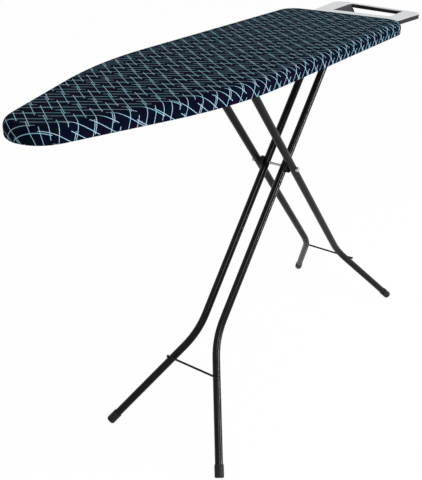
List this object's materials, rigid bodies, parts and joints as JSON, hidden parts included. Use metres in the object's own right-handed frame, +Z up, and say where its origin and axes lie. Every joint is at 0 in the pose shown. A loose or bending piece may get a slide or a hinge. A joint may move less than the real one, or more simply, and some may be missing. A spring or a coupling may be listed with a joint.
{
  "type": "folding ironing board",
  "caption": "Folding ironing board: padded cloth-covered top with tapered nose, metal iron rest, and splayed tube legs that cross at a scissor pivot.",
  "frame": {"origin": "on the floor, under the centre of the overall box with the board standing at its working height", "axes": "+X along the board from the nose to the iron rest, +Y to the left, +Z up"},
  "size_m": [1.314, 0.334, 0.857],
  "materials": {
    "cover_cloth": "woven cotton, dark navy with a thin pale blue line print",
    "pad_foam": "thin felt-faced foam",
    "elastic": "woven elastic",
    "bare_steel": "perforated sheet, satin",
    "black_paint": "satin black powder coat",
    "black_gloss": "gloss black enamel",
    "silver_paint": "satin silver-grey coat",
    "zinc": "zinc-plated",
    "black_plastic": "moulded, fine grain",
    "white_plastic": "moulded, natural nylon"
  },
  "bodies": {
    "board": {"steel_panel": "bare_steel", "edge_rim": "black_paint", "foam_pad": "pad_foam", "fabric_cover": "cover_cloth", "hem_elastic": "elastic", "front_brace": "black_paint", "rear_brace": "black_paint", "rail_left": "black_paint", "rail_right": "black_paint", "rest_plate": "silver_paint", "rest_frame": "black_paint", "rest_screws": "zinc", "hinge_rod": "zinc", "hinge_rod_caps": "black_plastic", "hinge_spacers": "black_plastic", "rack_bracket": "black_paint", "rack_pin": "zinc"},
    "inner_leg": {"inner_tube_left": "black_gloss", "inner_tube_right": "black_gloss", "inner_crossbar": "black_gloss", "inner_top_plugs": "black_plastic", "inner_foot_left": "black_plastic", "inner_foot_right": "black_plastic", "pivot_rod": "zinc", "pivot_caps": "zinc", "pivot_spacer_left": "black_plastic", "pivot_spacer_right": "black_plastic"},
    "outer_leg": {"outer_tube_left": "black_paint", "outer_tube_right": "black_paint", "outer_crossbar": "black_paint", "outer_top_plugs": "black_plastic", "outer_foot_left": "black_plastic", "outer_foot_right": "black_plastic", "slide_rod": "zinc", "slide_glide_left": "white_plastic", "slide_glide_right": "white_plastic"},
    "height_rack": {"rack_plate": "zinc", "rack_spring": "zinc", "lever_arm": "zinc", "lever_grip": "black_plastic"}
  },
  "joints": [
    {"name": "leg_fold", "type": "hinge", "parent": "board", "child": "inner_leg", "pos_m": [0.35002, 0, 0.837], "axis": [0, 1, 0], "range_deg": [0, 47.8]},
    {"name": "outer_pivot", "type": "hinge", "parent": "inner_leg", "child": "outer_leg", "pos_m": [0.10919, 0, 0.55151], "axis": [0, 1, 0], "range_deg": [-95.7, 0]},
    {"name": "rack_release", "type": "hinge", "parent": "board", "child": "height_rack", "pos_m": [-0.41467, 0, 0.8271], "axis": [0, 1, 0], "range_deg": [0, 4], "stiffness_Nm_per_rad": 3, "springref_deg": -11.46}
  ],
  "couplings": [
    {"joint": "outer_pivot", "follows": "leg_fold", "ratio": -2}
  ]
}
